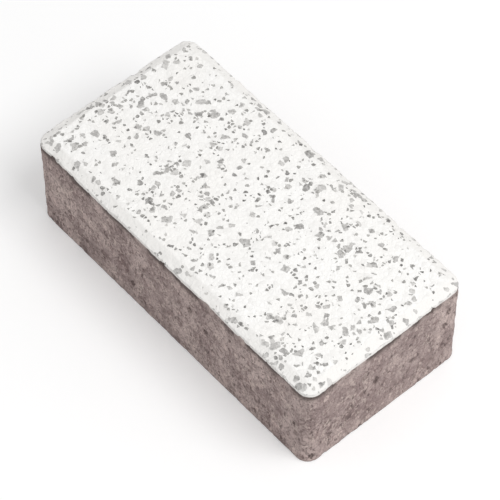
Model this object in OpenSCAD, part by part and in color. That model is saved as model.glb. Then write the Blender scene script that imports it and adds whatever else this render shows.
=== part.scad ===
// Rectangular concrete paving stone, pressed in one piece, with rounded upright corners
// and a narrow bevel all round the wearing face.
// The origin is in the middle of the bed face. X runs along the stone and Z points up.

/* [Stone] */
// Length of the stone, from end to end
stone_length = 198; // [100:1:400]
// Width of the stone, across the two long sides
stone_width = 98; // [60:1:200]
// Height of the stone, from the bed face to the wearing face
stone_height = 60; // [30:1:120]

/* [Edges] */
// Radius of the four upright corners
corner_radius = 7; // [4:0.5:25]
// How far the bevel reaches in from the sides, over the wearing face
bevel_reach = 5.5; // [1:0.5:12]
// How far the bevel comes down the sides
bevel_drop = 2.5; // [1:0.5:12]

/* [Hidden] */
// Radius that stays flat on top of a corner when a wide bevel meets a tight corner
least_corner_land = 0.5;
// The bevel turns with the corner, so it reaches in no further than the corner's own radius
bevel_in = min(bevel_reach, corner_radius - least_corner_land);
// Height at which the upright sides end and the bevel begins
shoulder_height = stone_height - bevel_drop;
// Distances from the middle of the stone to the centres of its corners
corner_x = stone_length / 2 - corner_radius;
corner_y = stone_width / 2 - corner_radius;
// Facets of a full turn
$fn = 96;

// Half of the stone's section: a plain upright side with the bevel at its top
module half_section(half_width) {
    polygon([
        [0, 0],
        [half_width, 0],
        [half_width, shoulder_height],
        [half_width - bevel_in, stone_height],
        [0, stone_height]
    ]);
}

// A length of stone along X, with its two long upper edges bevelled
module bevelled_bar(bar_length, bar_width) {
    rotate([90, 0, 90])
        linear_extrude(height = bar_length, center = true)
            union() {
                half_section(bar_width / 2);
                mirror([1, 0])
                    half_section(bar_width / 2);
            }
}

// One upright corner, round in plan, with the bevel carried round it as a cone
module corner_post() {
    rotate_extrude()
        half_section(corner_radius);
}

// The whole stone: two crossing bars make the four sides, and the posts round its corners
module paving_stone() {
    color("whitesmoke")
        union() {
            bevelled_bar(2 * corner_x, stone_width);
            rotate([0, 0, 90])
                bevelled_bar(2 * corner_y, stone_length);
            for (side_x = [-1, 1], side_y = [-1, 1])
                translate([side_x * corner_x, side_y * corner_y, 0])
                    corner_post();
        }
}

paving_stone();
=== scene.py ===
"""A concrete paving stone: white facing concrete with grey stone chips, on a taupe backing concrete."""
import math

import bpy
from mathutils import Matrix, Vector


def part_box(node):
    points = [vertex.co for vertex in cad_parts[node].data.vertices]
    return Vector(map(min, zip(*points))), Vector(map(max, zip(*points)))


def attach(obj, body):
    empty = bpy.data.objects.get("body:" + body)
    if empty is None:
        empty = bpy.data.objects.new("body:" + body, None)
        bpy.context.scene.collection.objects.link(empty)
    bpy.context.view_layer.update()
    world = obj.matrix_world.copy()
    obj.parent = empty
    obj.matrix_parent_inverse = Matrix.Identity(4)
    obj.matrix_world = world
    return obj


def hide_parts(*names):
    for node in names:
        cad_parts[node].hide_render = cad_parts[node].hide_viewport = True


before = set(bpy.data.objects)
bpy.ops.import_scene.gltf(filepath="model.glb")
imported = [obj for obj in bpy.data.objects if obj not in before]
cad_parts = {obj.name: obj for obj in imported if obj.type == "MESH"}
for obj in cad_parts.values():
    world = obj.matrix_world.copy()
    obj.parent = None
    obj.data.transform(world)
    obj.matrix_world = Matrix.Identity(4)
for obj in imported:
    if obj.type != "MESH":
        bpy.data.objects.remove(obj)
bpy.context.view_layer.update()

# The stone's sizes, in metres
MM = 0.001
LOW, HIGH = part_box("paving_stone")
LENGTH, WIDTH, HEIGHT = HIGH - LOW
CORNER_RADIUS = 7 * MM
CORNER_STEPS = 12
BEVEL_REACH = 5.5 * MM
BEVEL_DROP = 2.5 * MM

# The mesh: how often the remesher halves its box, how much of that box the stone fills,
# and how often the middle of the bed is thinned afterwards
MESH_HALVINGS = 8
MESH_FILL = 0.97
BED_THINNINGS = 2

# The attribute that keeps where each point lay before the surface was worn
CAST_PLACE = "cast_place"

# The line between the bevel and the wearing face: the size and reach of its wander, and half its width
FACE_LINE = (4 * MM, 2.4 * MM)
FACE_LINE_HALF = 1 * MM

# The line where the white facing ends: its depth below the wearing face, and the size and reach of
# the waves, notches and bites that make it ragged
FACING_DEPTH = 4.5 * MM
FACING_WAVES = (30 * MM, 2.4 * MM)
FACING_NOTCHES = (4.5 * MM, 2.6 * MM)
FACING_BITES = (8 * MM, 1.6 * MM)

# Half the width of that line, in the relief and in the colour
RELIEF_LINE_HALF = 0.3 * MM
COLOUR_LINE_HALF = 0.2 * MM

# The grey chips of the facing: size, share of the grains that are grey, darkest and lightest grey
COARSE_CHIPS = (4.8 * MM, 0.17, (148, 146, 144), (218, 216, 213))
MIDDLE_CHIPS = (3.2 * MM, 0.22, (124, 122, 120), (210, 208, 205))
FINE_CHIPS = (1.9 * MM, 0.15, (100, 98, 96), (190, 188, 184))

# The crowds that the chips lie in: their size, and how far the chips' share swings between them
CHIP_CROWDS = 20 * MM
CROWD_SWING = 0.15

# The outline of a chip, in sizes of its kind: the least and the further loss at its broken sides,
# its radius and the width of its soft rim. Each kind's pattern is shifted, to differ from other grains
CHIP_LEAST_LOSS = 0.05
CHIP_FURTHER_LOSS = 0.15
CHIP_RADIUS = 0.66
CHIP_RIM = 0.07
CHIP_SHIFT = 70

# How far the chips show through the cement skin at the stone's edge, how much of that is left on the
# sides, and how far down the change reaches
BARED_AT_EDGE = 0.6
BARED_ON_SIDE = 0.4
BARED_CHANGE = 1 * MM

# The gravel and sand of the backing: size, and how far the stones' own shades show through the cement
COARSE_GRAVEL = (7 * MM, 0.55)
MIDDLE_GRAVEL = (3.6 * MM, 0.55)
SAND = (1.4 * MM, 0.6)

# The share that heights are scaled by in a pattern, for gravel and streaks that the mould drew upright
GRAVEL_DRAWN = 0.65
STREAKS_DRAWN = 0.1

# The holes in the two concretes: how far apart they lie, and the radius of the widest
WIDE_PITS = ((19 * MM, 3.4 * MM), (9 * MM, 2 * MM))
FINE_PITS = ((2.6 * MM, 1.1 * MM),)
PINHOLES = ((4.2 * MM, 1.1 * MM),)

# Their ragged outline: how far it is pushed about, and the size of its teeth
PIT_PUSH = 3.6 * MM
PIT_TEETH = 1.8 * MM

# The width of their sloping walls: of wide pits in the relief and in the colour, and of small holes
PIT_WALL = 0.8 * MM
PIT_SHADE_WALL = 0.4 * MM
SMALL_HOLE_WALL = 0.25 * MM

# The relief of the washed face, the cast skin and the bed: the size of lumps, and the depth of hollows
WASHED_RELIEF = (10 * MM, 0.4 * MM)
CAST_RELIEF = (9 * MM, 0.5 * MM)
BED_RELIEF = (6 * MM, 0.7 * MM)

# How much is left of the washed relief at the stone's edge, and of the cast relief where the bevel ends
WASHED_AT_EDGE = 0.6
CAST_ON_BEVEL = 0.15

# The washed grains: size, and the depth of the joints between them
WASHED_GRAINS = (3.4 * MM, 0.14 * MM)

# Depths of the other forms, and the skin that is lost everywhere
CHIP_RISE = 0.12 * MM
GRAVEL_GAP_DEPTH = 0.12 * MM
PIT_DEPTH = 1 * MM
SKIN_LOSS = 0.03 * MM

# Where the bed's rough skin starts, and where it is full, above the bed
BED_SKIN = (0.6 * MM, 0.1 * MM)

# The crumbs lost at edges: size and depth, then reach and share along the bevel's shoulder and the bed
CRUMBS = (5 * MM, 0.8 * MM)
SHOULDER_CRUMBS = (2 * MM, 1)
BED_CRUMBS = (3 * MM, 0.5)

# How much of the relief is left at the bed's edge, and how far in it is whole again
BED_EDGE_SHARE = 0.3
BED_EDGE_REACH = 3 * MM

# Sizes of the facing's patterns: patches and grains of the marble, and the chips' film and crystals
MARBLE_PATCHES = 35 * MM
MARBLE_GRAINS = 2.2 * MM
CHIP_FILM = 1.5 * MM
CHIP_CRYSTALS = 0.9 * MM

# Sizes of the backing's patterns: patches of the taupe, its cement film and its upright streaks
TAUPE_PATCHES = 18 * MM
CEMENT_FILM = 5 * MM
STREAKS = 3 * MM

# The grain that both concretes share
FINE_GRAIN = 0.9 * MM

# At the line between the concretes: how far stains reach up, how far the smears and the painted shadow reach
# down, and the size of their patches
STAIN_REACH = 2.2 * MM
SMEAR_AND_SHADOW_REACH = 6 * MM
SMEAR_AND_SHADOW_PATCHES = 10 * MM

# How far up from the bed the backing is a little darker
FOOT_REACH = 3 * MM

# Colours of the facing, as an eight-bit screen shows them
MARBLE_WHITE = (254, 253, 251)
MARBLE_CREAM = (252, 250, 247)
PALE_GRAIN = (236, 234, 231)
GRAIN_RIM = (222, 219, 215)
BEVEL_SKIN = (246, 244, 241)
EDGE_STAIN = (226, 217, 210)
# Painted shade in the pinholes
PINHOLE_SHADE = (176, 172, 166)

# Colours of the backing, as an eight-bit screen shows them
TAUPE_DARK = (166, 147, 144)
TAUPE_PALE = (206, 187, 182)
STREAK_DARK = (138, 121, 118)
PALE_GRAVEL = ((220, 203, 194), (208, 186, 181))
DARK_GRAVEL = ((106, 92, 88), (116, 93, 92))
# Painted shade in the gaps between the gravel's grains
PAINTED_GAP_SHADE = (88, 73, 70)
# Painted shade in the pits and pores
PAINTED_PIT_SHADE = (82, 68, 65)
WHITE_SMEAR = (206, 191, 185)
# Painted shadow just under the white facing's edge
SHADOW_LINE = (92, 80, 76)
FOOT_DARK = (104, 92, 88)

# How strongly the colours of the facing show
PALE_GRAIN_SHARE = 0.4
GRAIN_RIM_SHARE = 0.1
STAIN_SHARE = 0.2
# Painted shade in the pinholes
PINHOLE_SHADE_SHARE = 0.5
FILMED_CHIP_SHARE = 0.7

# How far a chip's grey swings with its crystals and with the fine grain
CRYSTAL_SWING = 0.45
FINE_SWING = 0.5

# How strongly the colours of the backing show. A pair gives the two ends of a patchy change
STREAK_SHARE = 0.15
FILMED_GRAVEL_SHARE = 0.3
# Painted shade between the gravel's grains
PAINTED_GAP_SHADE_SHARE = 0.22
# Painted shade in the voids and the pits
PAINTED_VOID_SHADE_SHARE = 0.7
PAINTED_PIT_SHADE_SHARES = (0.8, 0.45)
SMEAR_SHARES = (0.5, 0.0)
SHADOW_SHARES = (0.2, 1.0)
FOOT_SHARE = 0.08

# Heights in the surface's fine bump, in millimetres
GRAIN_BUMP = 0.1
CHIP_BUMP = 0.07
PINHOLE_BUMP = 0.25
FINE_BUMP = 0.14
GRAVEL_BUMP = 0.1
PORE_BUMP = 0.3

# The finish of the concrete
ROUGHNESS = (0.78, 0.95)
SPECULAR = 0.35

# Where the camera stands, and how much of the picture the stone fills
VIEW_AZIMUTH = 49.0
VIEW_ELEVATION = 54.5
VIEW_DISTANCE = 1.36
VIEW_FILL = 0.87

# The paper floor: size, shade, and the glow that whitens it where it is seen
FLOOR_SIZE = 8
PAPER_SHADE = 0.84
PAPER_GLOW = 0.22

# The light: the room's strength on the stone, and the lamp's place, size and power
ROOM_LIGHT = 0.728
LAMP_AZIMUTH = 106
LAMP_ELEVATION = 58
LAMP_DISTANCE = 1.6
LAMP_SIZE = 0.9
LAMP_POWER = 13.4


# Nodes that work alike in a material and in a shaping tree


def add(tree, kind, inputs=None, **settings):
    """Places one node, sets it up and joins its inputs."""
    made = tree.nodes.new(kind)
    for name, value in settings.items():
        setattr(made, name, value)
    for socket, value in (inputs or {}).items():
        if isinstance(value, bpy.types.NodeSocket):
            tree.links.new(value, made.inputs[socket])
        else:
            made.inputs[socket].default_value = value
    return made


def calc(tree, operation, first, second=0.0, third=0.0):
    made = add(tree, "ShaderNodeMath", {0: first, 1: second, 2: third}, operation=operation)
    return made.outputs[0]


def vector_calc(tree, operation, first, second=(0, 0, 0)):
    made = add(tree, "ShaderNodeVectorMath", {0: first, 1: second}, operation=operation)
    return made.outputs["Vector"]


def scale(tree, vector, amount):
    made = add(tree, "ShaderNodeVectorMath", {0: vector, "Scale": amount}, operation="SCALE")
    return made.outputs["Vector"]


def parts(tree, vector):
    return add(tree, "ShaderNodeSeparateXYZ", {0: vector}).outputs


def ramp(tree, value, start, end, low=0.0, high=1.0):
    """Goes smoothly from low to high while the value goes from start to end."""
    inputs = {"Value": value, "From Min": start, "From Max": end, "To Min": low, "To Max": high}
    return add(tree, "ShaderNodeMapRange", inputs, interpolation_type="SMOOTHSTEP").outputs["Result"]


def blend(tree, factor, first, second):
    """Goes from the first value to the second with the factor."""
    return add(tree, "ShaderNodeMix", {0: factor, 2: first, 3: second}).outputs[0]


def shader_colour(colour):
    """A screen colour in the linear light that shaders use. A colour from a node stays as it is."""
    if isinstance(colour, bpy.types.NodeSocket):
        return colour
    linear = []
    for part in colour:
        share = part / 255
        linear.append(share / 12.92 if share <= 0.04045 else ((share + 0.055) / 1.055) ** 2.4)
    return (*linear, 1.0)


def tint(tree, factor, first, second):
    """Goes from the first colour to the second with the factor."""
    inputs = {0: factor, 6: shader_colour(first), 7: shader_colour(second)}
    return add(tree, "ShaderNodeMix", inputs, data_type="RGBA").outputs[2]


def clouds(tree, where, size, detail=2.0, roughness=0.5):
    """Cloudy noise about 0.5, with lumps of about the given size."""
    inputs = {"Vector": where, "Scale": 1 / size, "Detail": detail, "Roughness": roughness}
    return add(tree, "ShaderNodeTexNoise", inputs)


def cells(tree, where, size, feature="F1"):
    inputs = {"Vector": where, "Scale": 1 / size}
    return add(tree, "ShaderNodeTexVoronoi", inputs, feature=feature)


def wander(tree, value, noise, reach):
    """Lets a value wander with cloudy noise, by half the reach each way."""
    return calc(tree, "MULTIPLY_ADD", noise, reach, calc(tree, "SUBTRACT", value, reach / 2))


def uneven(tree, where, size, depth):
    """An uneven surface with lumps of about the size: 0 on its crowns, the depth in its hollows."""
    noise = clouds(tree, where, size, detail=4.0, roughness=0.6).outputs[0]
    return ramp(tree, noise, 0.28, 0.72, high=depth)


def ragged(tree, where, amount, size):
    """Moves a place about by cloudy noise, so that what is drawn there gets a ragged outline."""
    push = clouds(tree, where, size, detail=3, roughness=0.65).outputs["Color"]
    push = vector_calc(tree, "SUBTRACT", push, (0.5, 0.5, 0.5))
    return vector_calc(tree, "ADD", where, scale(tree, push, amount))


def grains(tree, where, size):
    """A packing of broken grains. It gives how deep a place lies in its grain and how far from the
    grain's middle, both in sizes, and three numbers that the grain keeps."""
    rough = ragged(tree, where, 0.5 * size, 0.7 * size)
    rim = cells(tree, rough, size, "DISTANCE_TO_EDGE").outputs["Distance"]
    grain = cells(tree, rough, size)
    return rim, grain.outputs["Distance"], parts(tree, grain.outputs["Color"])


# Places on the stone


def depth_in(tree, where):
    """How far a place lies in from the upright sides, up to the corner radius."""
    reach = vector_calc(tree, "ABSOLUTE", vector_calc(tree, "MULTIPLY", where, (1, 1, 0)))
    core = (LENGTH / 2 - CORNER_RADIUS, WIDTH / 2 - CORNER_RADIUS, 0)
    past = vector_calc(tree, "MAXIMUM", vector_calc(tree, "SUBTRACT", reach, core), (0, 0, 0))
    out = add(tree, "ShaderNodeVectorMath", {0: past}, operation="LENGTH").outputs["Value"]
    return calc(tree, "SUBTRACT", CORNER_RADIUS, out)


def depth_down(tree, where):
    """How far a place lies below the wearing face."""
    return calc(tree, "SUBTRACT", HEIGHT, parts(tree, where)["Z"])


def edge_distance(tree, side, down, level):
    """How far a place lies from the stone's edge at a level, measured down from the wearing face."""
    along = calc(tree, "SUBTRACT", down, level)
    squared = calc(tree, "ADD", calc(tree, "MULTIPLY", side, side), calc(tree, "MULTIPLY", along, along))
    return calc(tree, "SQRT", squared)


def wearing_face(tree, where, side):
    """1 on the flat wearing face and 0 on the bevel and the sides, with an uneven change between them."""
    size, reach = FACE_LINE
    uneven_side = wander(tree, side, clouds(tree, where, size).outputs[0], reach)
    return ramp(tree, uneven_side, BEVEL_REACH - FACE_LINE_HALF, BEVEL_REACH + FACE_LINE_HALF)


def bared(tree, side, down):
    """How far the chips show through the cement skin: wholly on top, less on the bevel and the sides."""
    top = ramp(tree, side, 0.0, BEVEL_REACH, BARED_AT_EDGE, 1.0)
    upper = ramp(tree, down, BEVEL_DROP, BEVEL_DROP + BARED_CHANGE, 1.0, BARED_ON_SIDE)
    return calc(tree, "MULTIPLY", top, upper)


def below_facing(tree, where, down):
    """How far a place lies below the ragged line where the facing ends, less than 0 in the facing."""
    wave_size, wave_reach = FACING_WAVES
    notch_size, notch_reach = FACING_NOTCHES
    bite_size, bite_reach = FACING_BITES
    wave = clouds(tree, where, wave_size, detail=1).outputs[0]
    notch = clouds(tree, where, notch_size, detail=3, roughness=0.6).outputs[0]
    bite = ramp(tree, clouds(tree, where, bite_size).outputs[0], 0.56, 0.7)
    edge = wander(tree, FACING_DEPTH, wave, wave_reach)
    edge = wander(tree, edge, notch, notch_reach)
    edge = calc(tree, "MULTIPLY_ADD", bite, -bite_reach, edge)
    return calc(tree, "SUBTRACT", down, edge)


# What the two concretes are made of


def grey_chips(tree, where, kind):
    """The grey chips of one kind: 1 inside a chip, and a number that each chip keeps."""
    size, share = kind[:2]
    shifted = vector_calc(tree, "ADD", where, (CHIP_SHIFT * size, 0, 0))
    rim, middle, lot = grains(tree, shifted, size)
    crowd = clouds(tree, where, CHIP_CROWDS, detail=1).outputs[0]
    fewest, most = (1 - CROWD_SWING) * share, (1 + CROWD_SWING) * share
    picked = calc(tree, "LESS_THAN", lot[0], ramp(tree, crowd, 0.3, 0.7, fewest, most))
    broken_off = calc(tree, "MULTIPLY_ADD", lot[1], CHIP_FURTHER_LOSS, CHIP_LEAST_LOSS)
    from_side = calc(tree, "SUBTRACT", rim, broken_off)
    from_round = calc(tree, "SUBTRACT", CHIP_RADIUS, middle)
    inside = calc(tree, "MINIMUM", from_side, from_round)
    return calc(tree, "MULTIPLY", picked, ramp(tree, inside, 0.0, CHIP_RIM)), lot[2]


def pits(tree, where, kinds, wall):
    """Holes left in the concrete: 1 at their bottom and 0 outside, with sloping walls of the given width."""
    holes = 0.0
    rough = ragged(tree, where, PIT_PUSH, PIT_TEETH)
    for apart, widest in kinds:
        cell = cells(tree, rough, apart)
        few_wide = calc(tree, "POWER", parts(tree, cell.outputs["Color"])[0], 3.0)
        radius = calc(tree, "MULTIPLY", few_wide, widest / apart)
        inside = calc(tree, "SUBTRACT", radius, cell.outputs["Distance"])
        holes = calc(tree, "MAXIMUM", ramp(tree, inside, 0.0, wall / apart), holes)
    return holes


def drawn(tree, where, share):
    """A place on the sides, which were drawn upright as the stone was pushed out of its mould."""
    return vector_calc(tree, "MULTIPLY", where, (1, 1, share))


# The stone's shape


def pick_edges(piece, wanted):
    bpy.ops.mesh.select_mode(type="EDGE")
    bpy.ops.mesh.select_all(action="DESELECT")
    bpy.ops.object.mode_set(mode="OBJECT")
    for edge in piece.data.edges:
        a, b = (piece.data.vertices[i].co for i in edge.vertices)
        edge.select = wanted(a, b)
    bpy.ops.object.mode_set(mode="EDIT")


def pick_faces(piece, wanted):
    bpy.ops.mesh.select_mode(type="FACE")
    bpy.ops.mesh.select_all(action="DESELECT")
    bpy.ops.object.mode_set(mode="OBJECT")
    for face in piece.data.polygons:
        face.select = wanted(face)
    bpy.ops.object.mode_set(mode="EDIT")


def in_bed(face):
    """True for a face of the underside, away from its edges."""
    inside_x = abs(face.center.x) < LENGTH / 2 - CORNER_RADIUS
    inside_y = abs(face.center.y) < WIDTH / 2 - CORNER_RADIUS
    return face.normal.z < -0.9 and inside_x and inside_y


def model_stone():
    """Models the stone from a block: round corners, the bevel, then a mesh fine enough for its grain."""
    bpy.ops.object.select_all(action="DESELECT")
    bpy.ops.mesh.primitive_cube_add(size=1)
    stone = bpy.context.object
    stone.name = stone.data.name = "pressed_stone"
    bpy.ops.object.mode_set(mode="EDIT")
    shoulder = HEIGHT - BEVEL_DROP
    bpy.ops.transform.resize(value=(LENGTH, WIDTH, shoulder))
    bpy.ops.transform.translate(value=(0, 0, shoulder / 2))
    pick_edges(stone, lambda a, b: abs(a.z - b.z) > shoulder / 2)
    bpy.ops.mesh.bevel(offset=CORNER_RADIUS, segments=CORNER_STEPS, affect="EDGES")
    pick_faces(stone, lambda face: face.normal.z > 0.9)
    bpy.ops.mesh.inset(thickness=BEVEL_REACH, depth=BEVEL_DROP)
    bpy.ops.object.mode_set(mode="OBJECT")
    even = stone.modifiers.new("even_mesh", "REMESH")
    even.mode = "SHARP"
    even.octree_depth = MESH_HALVINGS
    even.scale = MESH_FILL
    even.use_remove_disconnected = False
    bpy.ops.object.modifier_apply(modifier=even.name)
    bpy.ops.object.mode_set(mode="EDIT")
    pick_faces(stone, in_bed)
    bpy.ops.mesh.unsubdivide(iterations=BED_THINNINGS)
    bpy.ops.object.mode_set(mode="OBJECT")
    return stone


def washed_depth(tree, where, side):
    """What the washed facing has lost between its grains and in its hollows. The chips stand up in it."""
    size, depth = WASHED_GRAINS
    joints = ramp(tree, grains(tree, where, size)[0], 0.0, 0.22, depth, 0.0)
    lost = calc(tree, "ADD", joints, uneven(tree, where, *WASHED_RELIEF))
    for kind in (COARSE_CHIPS, MIDDLE_CHIPS):
        lost = calc(tree, "MULTIPLY_ADD", grey_chips(tree, where, kind)[0], -CHIP_RISE, lost)
    lost = calc(tree, "MAXIMUM", lost, 0.0)
    return calc(tree, "MULTIPLY", lost, ramp(tree, side, 0.0, BEVEL_REACH, WASHED_AT_EDGE, 1.0))


def cast_depth(tree, where, side, down, backing):
    """What the cast skin lacks: lumps on the bevel and the sides, open gravel and pits in the backing,
    and the rough bed."""
    lumps = uneven(tree, where, *CAST_RELIEF)
    lost = calc(tree, "MULTIPLY", lumps, ramp(tree, side, 0.0, BEVEL_REACH, 1.0, CAST_ON_BEVEL))
    face = wearing_face(tree, where, side)
    lost = calc(tree, "MULTIPLY", lost, calc(tree, "SUBTRACT", 1.0, face))

    gravel_place = drawn(tree, where, GRAVEL_DRAWN)
    rim = grains(tree, gravel_place, MIDDLE_GRAVEL[0])[0]
    gaps = ramp(tree, rim, 0.0, 0.2, GRAVEL_GAP_DEPTH, 0.0)
    holes = pits(tree, gravel_place, WIDE_PITS, PIT_WALL)
    open_skin = calc(tree, "MULTIPLY_ADD", holes, PIT_DEPTH, gaps)
    lost = calc(tree, "MULTIPLY_ADD", open_skin, backing, lost)

    start, full = BED_SKIN
    bed = ramp(tree, down, HEIGHT - start, HEIGHT - full)
    lost = calc(tree, "MULTIPLY_ADD", uneven(tree, where, *BED_RELIEF), bed, lost)
    from_bed_edge = edge_distance(tree, side, down, HEIGHT)
    return calc(tree, "MULTIPLY", lost, ramp(tree, from_bed_edge, 0.0, BED_EDGE_REACH, BED_EDGE_SHARE, 1.0))


def edge_crumbs(tree, where, side, down):
    """Crumbs lost here and there along the bevel's shoulder and along the edges of the bed."""
    size, depth = CRUMBS
    lost = ramp(tree, clouds(tree, where, size, detail=3, roughness=0.6).outputs[0], 0.54, 0.72)
    near = 0.0
    for level, (reach, share) in ((BEVEL_DROP, SHOULDER_CRUMBS), (HEIGHT, BED_CRUMBS)):
        from_edge = edge_distance(tree, side, down, level)
        near = calc(tree, "MAXIMUM", near, ramp(tree, from_edge, 0.0, reach, share, 0.0))
    return calc(tree, "MULTIPLY", calc(tree, "MULTIPLY", near, lost), depth)


def worn_depth(tree, where):
    """How much the surface has lost at each place."""
    side = depth_in(tree, where)
    down = depth_down(tree, where)
    below = below_facing(tree, where, down)
    backing = ramp(tree, below, -RELIEF_LINE_HALF, RELIEF_LINE_HALF)
    facing = calc(tree, "SUBTRACT", 1.0, backing)
    cast = cast_depth(tree, where, side, down, backing)
    lost = calc(tree, "MULTIPLY_ADD", washed_depth(tree, where, side), facing, cast)
    lost = calc(tree, "ADD", lost, edge_crumbs(tree, where, side, down))
    return calc(tree, "ADD", lost, SKIN_LOSS)


def relief_tree():
    """Keeps each point's cast place for the finish, then moves the point in by what the surface lost."""
    tree = bpy.data.node_groups.new("stone_relief", "GeometryNodeTree")
    tree.interface.new_socket("Stone", in_out="INPUT", socket_type="NodeSocketGeometry")
    tree.interface.new_socket("Stone", in_out="OUTPUT", socket_type="NodeSocketGeometry")
    entry = add(tree, "NodeGroupInput")
    leave = add(tree, "NodeGroupOutput")
    where = add(tree, "GeometryNodeInputPosition").outputs[0]
    kept = add(tree, "GeometryNodeStoreNamedAttribute", data_type="FLOAT_VECTOR", domain="POINT", inputs={
        "Geometry": entry.outputs[0],
        "Name": CAST_PLACE,
        "Value": where,
    })
    normal = add(tree, "GeometryNodeInputNormal").outputs[0]
    inwards = scale(tree, normal, calc(tree, "MULTIPLY", worn_depth(tree, where), -1))
    moved = add(tree, "GeometryNodeSetPosition", {"Geometry": kept.outputs[0], "Offset": inwards})
    tree.links.new(moved.outputs[0], leave.inputs[0])
    return tree


def wear_stone(stone):
    relief = stone.modifiers.new("relief", "NODES")
    relief.node_group = relief_tree()
    bpy.context.view_layer.objects.active = stone
    bpy.ops.object.modifier_apply(modifier=relief.name)
    bpy.ops.object.select_all(action="DESELECT")
    stone.select_set(True)
    bpy.ops.object.shade_smooth()


# The stone's finish


def marble_look(tree, where, side, below):
    """The white ground of the facing, with the bevel's skin and the stain at its lower line. It gives the
    colour, and how deep each place lies in its grain."""
    patch = clouds(tree, where, MARBLE_PATCHES).outputs[0]
    marble = tint(tree, ramp(tree, patch, 0.3, 0.7), MARBLE_WHITE, MARBLE_CREAM)
    rim, _, lot = grains(tree, where, MARBLE_GRAINS)
    marble = tint(tree, ramp(tree, lot[0], 0.6, 1.0, high=PALE_GRAIN_SHARE), marble, PALE_GRAIN)
    marble = tint(tree, ramp(tree, rim, 0.0, 0.1, GRAIN_RIM_SHARE, 0.0), marble, GRAIN_RIM)
    colour = tint(tree, wearing_face(tree, where, side), BEVEL_SKIN, marble)
    stain = ramp(tree, below, -STAIN_REACH, 0.0, high=STAIN_SHARE)
    return tint(tree, stain, colour, EDGE_STAIN), rim


def facing_look(tree, where, side, down, below, fine):
    """The white concrete's colour, and its height in millimetres."""
    colour, rim = marble_look(tree, where, side, below)
    height = ramp(tree, rim, 0.0, 0.3, high=GRAIN_BUMP)
    film = clouds(tree, where, CHIP_FILM, detail=3, roughness=0.6).outputs[0]
    clear = ramp(tree, film, 0.36, 0.54, FILMED_CHIP_SHARE, 1.0)
    shown = calc(tree, "MULTIPLY", clear, bared(tree, side, down))
    crystal = parts(tree, cells(tree, where, CHIP_CRYSTALS).outputs["Color"])[0]
    mottle = wander(tree, wander(tree, 0.0, fine, FINE_SWING), crystal, CRYSTAL_SWING)
    for kind in (COARSE_CHIPS, MIDDLE_CHIPS, FINE_CHIPS):
        darkest, lightest = kind[2:]
        chip, number = grey_chips(tree, where, kind)
        grey = tint(tree, calc(tree, "ADD", number, mottle), darkest, lightest)
        colour = tint(tree, calc(tree, "MULTIPLY", chip, shown), colour, grey)
        height = calc(tree, "MULTIPLY_ADD", chip, CHIP_BUMP, height)
    # Painted shade: the pinholes are greyed where shade would fall in them
    holes = pits(tree, where, PINHOLES, SMALL_HOLE_WALL)
    colour = tint(tree, calc(tree, "MULTIPLY", holes, PINHOLE_SHADE_SHARE), colour, PINHOLE_SHADE)
    height = calc(tree, "MULTIPLY_ADD", holes, -PINHOLE_BUMP, height)
    return colour, calc(tree, "MULTIPLY_ADD", fine, FINE_BUMP, height)


def gravel_look(tree, where, colour):
    """Lays the pale and dark stones of the gravel over the taupe, with painted shade in the gaps between
    them. It gives the colour and the height.
    """
    film = clouds(tree, where, CEMENT_FILM, detail=3, roughness=0.6).outputs[0]
    clear = ramp(tree, film, 0.44, 0.56, FILMED_GRAVEL_SHARE, 1.0)
    gravel_place = drawn(tree, where, GRAVEL_DRAWN)
    height = 0.0
    for size, strength in (COARSE_GRAVEL, MIDDLE_GRAVEL, SAND):
        rim, middle, lot = grains(tree, gravel_place, size)
        shown = calc(tree, "MULTIPLY", ramp(tree, rim, 0.03, 0.07), clear)
        pale = calc(tree, "MULTIPLY", shown, ramp(tree, lot[0], 0.6, 1.0, high=strength))
        dark = calc(tree, "MULTIPLY", shown, ramp(tree, lot[0], 0.0, 0.4, strength, 0.0))
        colour = tint(tree, pale, colour, tint(tree, lot[1], *PALE_GRAVEL))
        colour = tint(tree, dark, colour, tint(tree, lot[1], *DARK_GRAVEL))
        # Painted shade: the gaps between the grains are darkened where shade would fall
        colour = tint(tree, ramp(tree, rim, 0.0, 0.08, PAINTED_GAP_SHADE_SHARE, 0.0), colour, PAINTED_GAP_SHADE)
        height = calc(tree, "ADD", ramp(tree, middle, 0.1, 0.6, GRAVEL_BUMP, 0.0), height)
    return colour, height


def hollow_look(tree, where, fine, colour, height):
    """Paints shade into the pits and pores of the backing. The pores are sunk too, and the pits are in the
    mesh.
    """
    gravel_place = drawn(tree, where, GRAVEL_DRAWN)
    # Painted shade: voids in the fine grain, and the pits and pores, are darkened where shade would fall
    voids = ramp(tree, fine, 0.37, 0.43, PAINTED_VOID_SHADE_SHARE, 0.0)
    pores = calc(tree, "MAXIMUM", pits(tree, gravel_place, FINE_PITS, SMALL_HOLE_WALL), voids)
    hollows = calc(tree, "MAXIMUM", pits(tree, gravel_place, WIDE_PITS, PIT_SHADE_WALL), pores)
    shaded = calc(tree, "MULTIPLY", hollows, ramp(tree, fine, 0.35, 0.65, *PAINTED_PIT_SHADE_SHARES))
    colour = tint(tree, shaded, colour, PAINTED_PIT_SHADE)
    return colour, calc(tree, "MULTIPLY_ADD", pores, -PORE_BUMP, height)


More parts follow.
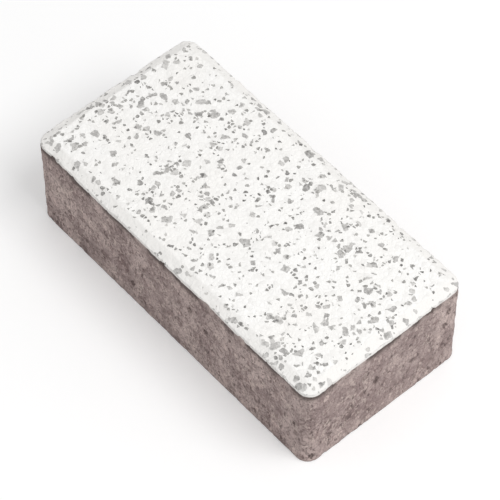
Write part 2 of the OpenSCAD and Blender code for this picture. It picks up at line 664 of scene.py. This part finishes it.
def backing_look(tree, where, down, below, fine):
    """The taupe concrete's colour, and its height in millimetres."""
    patch = clouds(tree, where, TAUPE_PATCHES).outputs[0]
    colour = tint(tree, ramp(tree, patch, 0.32, 0.68), TAUPE_DARK, TAUPE_PALE)
    streak_place = drawn(tree, where, STREAKS_DRAWN)
    streaks = clouds(tree, streak_place, STREAKS, roughness=0.6).outputs[0]
    colour = tint(tree, ramp(tree, streaks, 0.4, 0.7, high=STREAK_SHARE), colour, STREAK_DARK)
    colour, height = gravel_look(tree, where, colour)
    colour, height = hollow_look(tree, where, fine, colour, height)

    blotch = clouds(tree, where, SMEAR_AND_SHADOW_PATCHES).outputs[0]
    near = ramp(tree, below, 0.0, SMEAR_AND_SHADOW_REACH, 1.0, 0.0)
    smear = calc(tree, "MULTIPLY", near, ramp(tree, blotch, 0.34, 0.46, *SMEAR_SHARES))
    colour = tint(tree, smear, colour, WHITE_SMEAR)
    # Painted shadow: a dark, patchy line just under the white facing's edge
    shadow = calc(tree, "MULTIPLY", near, ramp(tree, blotch, 0.4, 0.56, *SHADOW_SHARES))
    colour = tint(tree, shadow, colour, SHADOW_LINE)
    foot = ramp(tree, down, HEIGHT - FOOT_REACH, HEIGHT, high=FOOT_SHARE)
    return tint(tree, foot, colour, FOOT_DARK), height


def concrete_finish():
    material = bpy.data.materials.new("two_mix_concrete")
    material.use_nodes = True
    tree = material.node_tree
    tree.nodes.clear()
    where = add(tree, "ShaderNodeAttribute", attribute_name=CAST_PLACE).outputs["Vector"]
    side = depth_in(tree, where)
    down = depth_down(tree, where)
    below = below_facing(tree, where, down)
    backing = ramp(tree, below, -COLOUR_LINE_HALF, COLOUR_LINE_HALF)
    fine = clouds(tree, where, FINE_GRAIN, detail=3, roughness=0.65).outputs[0]
    white, white_height = facing_look(tree, where, side, down, below, fine)
    taupe, taupe_height = backing_look(tree, where, down, below, fine)
    height = blend(tree, backing, white_height, taupe_height)
    bump = add(tree, "ShaderNodeBump", {"Strength": 1.0, "Distance": 1 * MM, "Height": height})
    shader = add(tree, "ShaderNodeBsdfPrincipled", {
        "Base Color": tint(tree, backing, white, taupe),
        "Roughness": ramp(tree, fine, 0.3, 0.7, *ROUGHNESS),
        "Normal": bump.outputs["Normal"],
        "Specular IOR Level": SPECULAR,
    })
    add(tree, "ShaderNodeOutputMaterial", {"Surface": shader.outputs[0]})
    return material


# The studio


def toward(azimuth, elevation):
    """The direction from the stone to a place at that turn and height. Turn 0 faces the long front side."""
    turn, rise = math.radians(azimuth), math.radians(elevation)
    return Vector((math.sin(turn) * math.cos(rise), -math.cos(turn) * math.cos(rise), math.sin(rise)))


def make_camera():
    """Looks at the stone from the photograph's side and height, with the stone filling the picture."""
    back = toward(VIEW_AZIMUTH, VIEW_ELEVATION)
    right = toward(VIEW_AZIMUTH + 90, 0)
    up = back.cross(right)
    eye = (LOW + HIGH) / 2 + back * VIEW_DISTANCE
    spread_x, spread_y = [], []
    for x in (LOW.x, HIGH.x):
        for y in (LOW.y, HIGH.y):
            for z in (LOW.z, HIGH.z):
                ray = Vector((x, y, z)) - eye
                spread_x.append(ray.dot(right) / -ray.dot(back))
                spread_y.append(ray.dot(up) / -ray.dot(back))
    middle = right * (max(spread_x) + min(spread_x)) / 2 + up * (max(spread_y) + min(spread_y)) / 2
    half = max(max(spread_x) - min(spread_x), max(spread_y) - min(spread_y)) / 2 / VIEW_FILL
    data = bpy.data.cameras.new("photo_view")
    data.lens = data.sensor_width / 2 / half
    camera = bpy.data.objects.new("photo_view", data)
    camera.location = eye
    camera.rotation_euler = (back - middle).to_track_quat("Z", "Y").to_euler()
    bpy.context.collection.objects.link(camera)
    bpy.context.scene.camera = camera


def seen_directly(tree):
    """1 for what the camera sees, straight or in a reflection, and 0 for light that falls on the stone."""
    path = add(tree, "ShaderNodeLightPath").outputs
    seen = calc(tree, "MAXIMUM", path["Is Camera Ray"], path["Is Glossy Ray"])
    return calc(tree, "MAXIMUM", seen, path["Is Transmission Ray"])


def make_floor():
    """A floor of white paper."""
    bpy.ops.object.select_all(action="DESELECT")
    bpy.ops.mesh.primitive_plane_add(size=FLOOR_SIZE)
    floor = bpy.context.object
    floor.name = "pale_floor"
    material = bpy.data.materials.new("pale_paper")
    material.use_nodes = True
    tree = material.node_tree
    tree.nodes.clear()
    paper = add(tree, "ShaderNodeBsdfDiffuse", {"Color": (PAPER_SHADE, PAPER_SHADE, PAPER_SHADE, 1)})
    glow_strength = calc(tree, "MULTIPLY", seen_directly(tree), PAPER_GLOW)
    glow = add(tree, "ShaderNodeEmission", {"Strength": glow_strength})
    both = add(tree, "ShaderNodeAddShader", {0: paper.outputs[0], 1: glow.outputs[0]})
    add(tree, "ShaderNodeOutputMaterial", {"Surface": both.outputs[0]})
    floor.data.materials.append(material)


def make_room():
    """An even white room."""
    world = bpy.data.worlds.new("studio")
    bpy.context.scene.world = world
    world.use_nodes = True
    tree = world.node_tree
    tree.nodes.clear()
    strength = calc(tree, "MULTIPLY_ADD", seen_directly(tree), 1 - ROOM_LIGHT, ROOM_LIGHT)
    room = add(tree, "ShaderNodeBackground", {"Strength": strength})
    add(tree, "ShaderNodeOutputWorld", {"Surface": room.outputs[0]})


def make_lamp():
    """One large soft lamp on the side of the stone's right end."""
    data = bpy.data.lights.new("key_light", "AREA")
    data.shape = "SQUARE"
    data.size = LAMP_SIZE
    data.energy = LAMP_POWER
    lamp = bpy.data.objects.new("key_light", data)
    back = toward(LAMP_AZIMUTH, LAMP_ELEVATION)
    lamp.location = (LOW + HIGH) / 2 + back * LAMP_DISTANCE
    lamp.rotation_euler = back.to_track_quat("Z", "Y").to_euler()
    bpy.context.collection.objects.link(lamp)


stone = model_stone()
wear_stone(stone)
stone.data.materials.clear()
stone.data.materials.append(concrete_finish())
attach(stone, "root")
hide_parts("paving_stone")
make_camera()
make_floor()
make_room()
make_lamp()
bpy.context.scene.view_settings.view_transform = "Standard"
